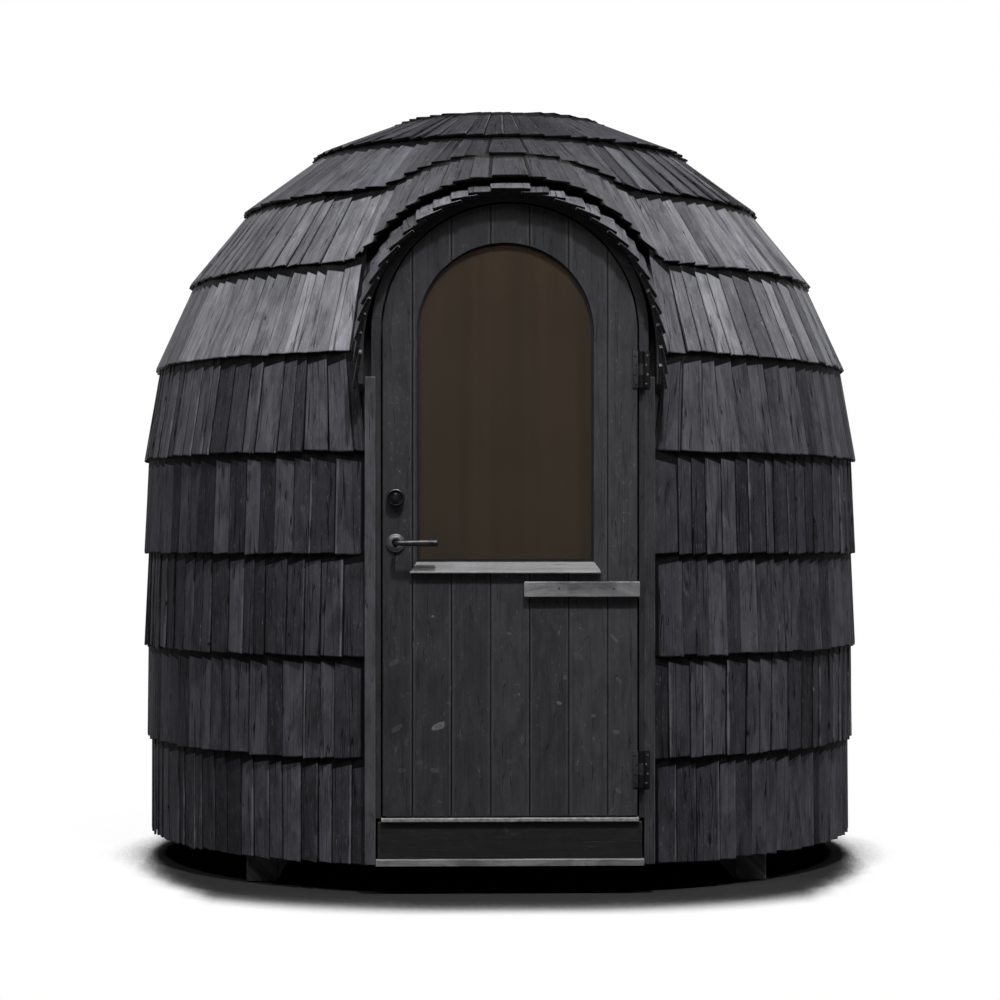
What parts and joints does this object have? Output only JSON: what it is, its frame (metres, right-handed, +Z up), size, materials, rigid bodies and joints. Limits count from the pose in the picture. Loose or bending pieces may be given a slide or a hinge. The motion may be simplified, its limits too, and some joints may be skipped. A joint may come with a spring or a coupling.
{
  "type": "outdoor sauna cabin",
  "caption": "Round igloo-shaped outdoor sauna cabin clad in blackened wooden shingles, with an arched glazed door under a shingled eyebrow hood.",
  "frame": {"origin": "centre of the round plan on the ground, at the underside of the two bearers", "axes": "+Z up; the door faces -Y; +X to the right when looking at the door from outside"},
  "size_m": [2.268, 2.2553, 2.365],
  "materials": {
    "shingles": "rough blackened shingles",
    "blackened_wood": "matt blackened timber",
    "door_boards": "matt blackened tongue-and-groove boards",
    "weathered_trim": "thinly stained timber",
    "inner_boarding": "plain planed spruce",
    "bare_sill": "worn grey timber",
    "tinted_glass": "brown tinted glass",
    "gasket_rubber": "matt black",
    "handle_metal": "satin",
    "threshold_metal": "scuffed",
    "hinge_paint": "satin black"
  },
  "bodies": {
    "cabin": {"bearer_left": "blackened_wood", "bearer_right": "blackened_wood", "floor_rim": "blackened_wood", "floor_deck": "inner_boarding", "wall_front_left": "inner_boarding", "wall_front_right": "inner_boarding", "wall_back_left": "inner_boarding", "wall_back_right": "inner_boarding", "dome_front_left": "inner_boarding", "dome_front_right": "inner_boarding", "dome_back_left": "inner_boarding", "dome_back_right": "inner_boarding", "course_1": "shingles", "course_2": "shingles", "course_3": "shingles", "course_4": "shingles", "course_5": "shingles", "course_6": "shingles", "course_7": "shingles", "course_8": "shingles", "course_9": "shingles", "course_cap": "shingles", "hood_shell": "blackened_wood", "hood_eave_course": "shingles", "hood_course_7": "shingles", "hood_course_8": "shingles", "jamb_left": "blackened_wood", "jamb_right": "blackened_wood", "frame_head": "blackened_wood", "trim_left": "weathered_trim", "trim_right": "weathered_trim", "threshold": "threshold_metal", "riser_board": "blackened_wood", "base_strip": "weathered_trim", "hinges_frame": "hinge_paint"},
    "door": {"door_leaf": "door_boards", "glass_pane": "tinted_glass", "glass_gasket": "gasket_rubber", "glass_sill": "bare_sill", "door_batten": "weathered_trim", "lock_cylinder": "handle_metal", "handle_rose": "handle_metal", "inner_rose": "handle_metal", "hinges_leaf": "hinge_paint"},
    "lever": {"lever_handle": "handle_metal"}
  },
  "joints": [
    {"name": "door_swing", "type": "hinge", "parent": "cabin", "child": "door", "pos_m": [0.366, -1.0735, 0.9], "axis": [0, 0, 1], "range_deg": [0, 90]},
    {"name": "lever_turn", "type": "hinge", "parent": "door", "child": "lever", "pos_m": [-0.319, -1.066, 0.982], "axis": [0, 1, 0], "range_deg": [0, 40], "stiffness_Nm_per_rad": 0.6}
  ]
}
